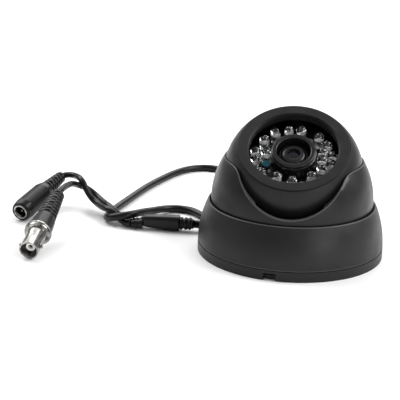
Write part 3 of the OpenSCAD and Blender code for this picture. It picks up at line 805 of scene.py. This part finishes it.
def bridged(bridges, lead):
    """Keeps each groove filled on two opposite sides, in turn across and upright."""
    bridge_from = 0.86

    def reshape(i, r, h, a):
        k = i - lead
        if 0 <= k < len(bridges) and bridges[k]:
            groove, full = bridges[k]
            side = abs(math.cos(a)) if groove % 2 else abs(math.sin(a))
            if side > bridge_from:
                return full
        return r

    return reshape


def power_body():
    head = rounded([
        (4.05, 10.5), (4.05, 0, 0.15), (4.85, 0, 0.3), (5.35, 0.9, 0.3), (5.87, 4.5, 1.0),
        (5.7, 22.3, 1.5), (4.9, 25.5, 0.9), (4.1, 26.8, 0.5),
    ])
    ribs, bridges = relief(27.2, 43.0, 3.4, 2.5, 4.3, 3.2, 6)
    outline = head + ribs + [(2.0, 43.0), (0, 43.0), (0, 10.5)]
    flat = bridged(bridges, len(head))

    def reshape(i, r, h, a):
        if 2 < h < 25 and r > 4.6:
            corner = abs(math.cos(2 * a)) ** 1.5
            return r * (1 - 0.035 * corner)
        return flat(i, r, h, a)

    return solid("power_socket_body", [revolve(outline, 96, reshape=reshape)], DC @ ALONG_X)


def power_sleeve():
    outline = rounded([
        (2.8, 9.5), (2.8, 1.1, 0.2), (3.3, -0.05, 0.1), (4.0, -0.05, 0.12), (4.0, 10.4),
        (0, 10.4), (0, 9.5),
    ])
    return solid("power_socket_sleeve", [revolve(outline, 96)], DC @ ALONG_X)


def power_pin():
    outline = [(0, 9.5), (1.05, 9.5), (1.05, 2.4), (0.9, 1.8), (0.6, 1.35), (0, 1.15)]
    return solid("power_socket_pin", [revolve(outline, 32)], DC @ ALONG_X)


def video_boot():
    head = rounded([
        (4.2, 25), (4.2, 17.05), (6.1, 17.05, 0.3), (6.4, 17.6, 0.3), (5.7, 26, 1.0),
        (5.35, 28.6, 0.8), (4.7, 29.9, 0.6),
    ])
    ribs, bridges = relief(30.4, 54.0, 4.1, 2.6, 5.0, 3.5, 8)
    outline = head + ribs + [(2.3, 54.0), (0, 54.0), (0, 25)]
    shape = bridged(bridges, len(head))
    return solid("video_jack_boot", [revolve(outline, 96, reshape=shape)], BNC @ ALONG_X)


def video_shell():
    outline = rounded([
        (4.07, 11), (4.07, 0, 0.12), (4.8, 0, 0.2), (4.8, 9), (5.05, 14.4),
        (6.4, 14.6, 0.2), (6.6, 15.3, 0.15), (6.2, 15.5), (6.2, 15.8), (6.9, 16.0, 0.15),
        (6.9, 17, 0.2), (4.15, 17), (4.15, 24.8), (0, 24.8), (0, 11),
    ])
    stud = rounded([(0, 4.5), (1, 4.5), (1, 5.8, 0.25), (0, 5.8)])
    parts = [revolve(outline, 128)]
    for turn in (90, 270):
        m = (
            Matrix.Translation((0, 0, 4.4))
            @ Matrix.Rotation(math.radians(turn), 4, "Z")
            @ Matrix.Rotation(math.radians(90), 4, "Y")
        )
        parts.append(moved(revolve(stud, 32), m))
    return solid("video_jack_shell", parts, BNC @ ALONG_X)


def video_insulator():
    outline = rounded([
        (1.15, 10.5), (1.15, 3.2, 0.15), (2.4, 3.2, 0.2), (2.4, 8.1), (4.05, 8.1), (4.05, 10.98),
        (0, 10.98), (0, 10.5),
    ])
    return solid("video_jack_insulator", [revolve(outline, 64)], BNC @ ALONG_X)


def oblong(x, y, z, wide, high, power=2.6, count=48):
    """A rounded-square ring across X."""
    ring = []
    for k in range(count):
        a = 2 * math.pi * k / count
        c, s = math.cos(a), math.sin(a)
        ring.append((
            x,
            y + wide / 2 * math.copysign(abs(c) ** (2 / power), c),
            z + high / 2 * math.copysign(abs(s) ** (2 / power), s),
        ))
    return ring


def loft(rings):
    n = len(rings[0])
    verts = [p for ring in rings for p in ring]
    faces = []
    for i in range(len(rings) - 1):
        for k in range(n):
            m = (k + 1) % n
            faces.append((i * n + k, i * n + m, (i + 1) * n + m, (i + 1) * n + k))
    faces.append(tuple(range(n)))
    faces.append(tuple((len(rings) - 1) * n + k for k in reversed(range(n))))
    return verts, faces


def splitter():
    y, z = 18.0, 4.2
    stations = [
        (-78.6, 4.5, 5.0, 5.0), (-78.2, 4.5, 5.6, 5.6), (-77.2, 4.5, 6.1, 6.1),
        (-75.6, 4.45, 6.4, 6.4), (-72, 4.35, 6.9, 7.0), (-66, z, 7.5, 7.9),
        (-59.6, z, 7.6, 8.0), (-59.1, z, 7.5, 7.9), (-58.8, z, 7.2, 7.6), (-58.7, z, 6.7, 7.1),
    ]
    bar = loft([oblong(x, y, h, w, t, 3.4) for x, h, w, t in stations])
    ribs, bridges = relief(-58.4, -51.6, 2.7, 2.6, 3.4, 3.3, 3)
    outline = [(0, -59.5), (2.6, -59.5)] + ribs + [(2.5, -51.4), (2.3, -51.0), (0, -51.0)]
    relief_part = moved(
        revolve(outline, 64, reshape=bridged(bridges, 2)),
        Matrix.Translation((0, y, z)) @ ALONG_X,
    )
    parts = [bar, relief_part]
    tail_z = 2.8
    for side in (-1.7, 1.7):
        rings = [
            oblong(x, y + side, h, d, d, 2.0, 32)
            for x, h, d in (
                (-84, tail_z, 3.9), (-83.7, tail_z, 4.3), (-83.2, tail_z, 4.3),
                (-83.1, tail_z, 4.0), (-82.1, tail_z, 4.1), (-82.0, tail_z, 4.7),
                (-81.0, tail_z, 4.8), (-80.9, 2.9, 4.2), (-79.9, 3.0, 4.3),
                (-79.8, 3.1, 5.0), (-78.0, 3.3, 5.2),
            )
        ]
        parts.append(loft(rings))
    return solid("splitter_block", parts)


# ---- pieces, their finish, body and the CAD nodes they stand for ----

# The cover ring and the inner dome take the finish with painted edge highlights.
piece(cover_ring(), "satin_black", "cover", "cover_ring", edge_highlit=True)
piece(inner_dome(), "dome_black", "dome", "inner_dome", edge_highlit=True)
piece(ball_front(), "dome_black", "ball", "ball_front")
piece(face_bezel(), "satin_black", "ball", "face_bezel")
piece(lens_hood(), "hood_black", "ball", "lens_hood")
piece(lens_barrel(), "hood_black", "lens", "lens_barrel")
piece(lens_glass(), "lens_glass", "lens", "lens_glass")
piece(lamp_bodies(), "lamp_clear", "ball", "ir_lamps")
piece(lamp_leads(), "screw_steel", "ball")
can, cell = light_sensor()
piece(can, "lens_glass", "ball", "light_sensor")
piece(cell, "sensor_blue", "ball")

split_piece = piece(splitter(), "cable_black", "base", "cable_splitter")
power_pieces = [
    piece(power_body(), "cable_black", "base", "dc_socket_body"),
    piece(power_sleeve(), "nickel", "base", "dc_socket_sleeve"),
    piece(power_pin(), "nickel", "base", "dc_socket_pin"),
]
video_pieces = [
    piece(video_boot(), "cable_black", "base", "bnc_boot"),
    piece(video_shell(), "nickel", "base", "bnc_shell"),
    piece(video_insulator(), "white_plastic", "base", "bnc_insulator"),
    frame["nodes"]["bnc_contact"],
]
piece(main_cord, "cable_black", "base", "main_cable")
piece(power_cord, "cable_black", "base", "dc_cable")
piece(video_cord, "cable_black", "base", "bnc_cable")
